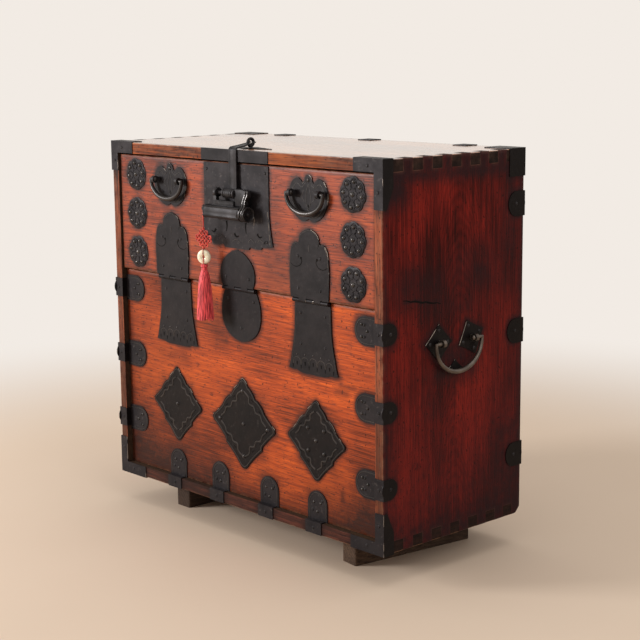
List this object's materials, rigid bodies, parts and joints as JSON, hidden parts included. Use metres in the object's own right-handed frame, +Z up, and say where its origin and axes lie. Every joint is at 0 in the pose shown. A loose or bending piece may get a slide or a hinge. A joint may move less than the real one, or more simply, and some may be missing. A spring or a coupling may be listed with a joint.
{
  "type": "half-opening chest",
  "caption": "Low wooden chest on two runners with a front flap that folds down, black iron hinges, corner irons, drop handles, a hasp and a bar padlock with a red tassel.",
  "frame": {"origin": "on the ground under the centre of the chest and its ironwork (the tassel left out)", "axes": "+X to the right seen from the front, -Y to the front, +Z up"},
  "size_m": [0.812, 0.4069, 0.7708],
  "materials": {
    "lacquered_wood": "red-brown oiled and lacquered hardwood, horizontal grain on the front, worn",
    "bare_wood": "bare weathered grey-brown wood",
    "black_iron": "blackened wrought iron sheet, matte, chased lines",
    "red_silk": "twisted silk cord and fringe",
    "pale_bead": "polished cream bead"
  },
  "bodies": {
    "carcass": {"top_board": "lacquered_wood", "bottom_board": "lacquered_wood", "left_side_board": "lacquered_wood", "right_side_board": "lacquered_wood", "back_board_lower": "lacquered_wood", "back_board_upper": "lacquered_wood", "lower_front_panel": "lacquered_wood", "left_runner": "bare_wood", "right_runner": "bare_wood", "left_hinge_lower_leaf": "black_iron", "middle_hinge_lower_leaf": "black_iron", "right_hinge_lower_leaf": "black_iron", "hinge_pins": "black_iron", "left_diamond": "black_iron", "middle_diamond": "black_iron", "right_diamond": "black_iron", "top_rail_plate": "black_iron", "left_top_corner_iron": "black_iron", "right_top_corner_iron": "black_iron", "left_foot_corner_iron": "black_iron", "right_foot_corner_iron": "black_iron", "left_rear_corner_iron": "black_iron", "right_rear_corner_iron": "black_iron", "left_front_straps": "black_iron", "right_front_straps": "black_iron", "left_rear_straps": "black_iron", "right_rear_straps": "black_iron", "foot_straps": "black_iron", "top_straps": "black_iron", "left_side_plates": "black_iron", "right_side_plates": "black_iron", "left_side_posts": "black_iron", "right_side_posts": "black_iron", "cotter_leaf": "black_iron", "cotter_ring": "black_iron", "case_nails": "black_iron"},
    "flap": {"flap_board": "lacquered_wood", "left_hinge_upper_leaf": "black_iron", "middle_hinge_upper_leaf": "black_iron", "right_hinge_upper_leaf": "black_iron", "lock_plate": "black_iron", "left_rosettes": "black_iron", "right_rosettes": "black_iron", "left_handle_plate": "black_iron", "right_handle_plate": "black_iron", "left_handle_posts": "black_iron", "right_handle_posts": "black_iron", "staple_rings": "black_iron", "flap_nails": "black_iron"},
    "hasp": {"hasp": "black_iron"},
    "lock_case": {"lock_case": "black_iron"},
    "lock_bolt": {"lock_bolt": "black_iron"},
    "tassel": {"tassel_cord": "red_silk", "tassel_knot": "red_silk", "tassel_bead": "pale_bead", "tassel": "red_silk"},
    "left_bail": {"left_bail": "black_iron"},
    "right_bail": {"right_bail": "black_iron"},
    "left_side_bail": {"left_side_bail": "black_iron"},
    "right_side_bail": {"right_side_bail": "black_iron"}
  },
  "joints": [
    {"name": "flap_hinge", "type": "hinge", "parent": "carcass", "child": "flap", "pos_m": [0, -0.16325, 0.4881], "axis": [1, 0, 0], "range_deg": [0, 150]},
    {"name": "hasp_hinge", "type": "hinge", "parent": "flap", "child": "hasp", "pos_m": [0, -0.18065, 0.67], "axis": [1, 0, 0], "range_deg": [0, 80]},
    {"name": "lock_swing", "type": "hinge", "parent": "flap", "child": "lock_case", "pos_m": [0, -0.18065, 0.67], "axis": [-1, 0, 0], "range_deg": [0, 25]},
    {"name": "bolt_slide", "type": "slide", "parent": "lock_case", "child": "lock_bolt", "axis": [1, 0, 0], "range_m": [0, 0.062]},
    {"name": "tassel_swing", "type": "hinge", "parent": "lock_case", "child": "tassel", "pos_m": [-0.068, -0.19165, 0.638], "axis": [1, 0, 0], "range_deg": [-150, 0]},
    {"name": "left_bail_lift", "type": "hinge", "parent": "flap", "child": "left_bail", "pos_m": [-0.2, -0.17715, 0.682], "axis": [-1, 0, 0], "range_deg": [0, 170]},
    {"name": "right_bail_lift", "type": "hinge", "parent": "flap", "child": "right_bail", "pos_m": [0.2, -0.17715, 0.682], "axis": [-1, 0, 0], "range_deg": [0, 170]},
    {"name": "left_side_bail_lift", "type": "hinge", "parent": "carcass", "child": "left_side_bail", "pos_m": [-0.399, 0.01035, 0.42], "axis": [0, 1, 0], "range_deg": [0, 170]},
    {"name": "right_side_bail_lift", "type": "hinge", "parent": "carcass", "child": "right_side_bail", "pos_m": [0.399, 0.01035, 0.42], "axis": [0, -1, 0], "range_deg": [0, 170]}
  ],
  "couplings": [
    {"joint": "tassel_swing", "follows": "flap_hinge", "ratio": -1}
  ]
}
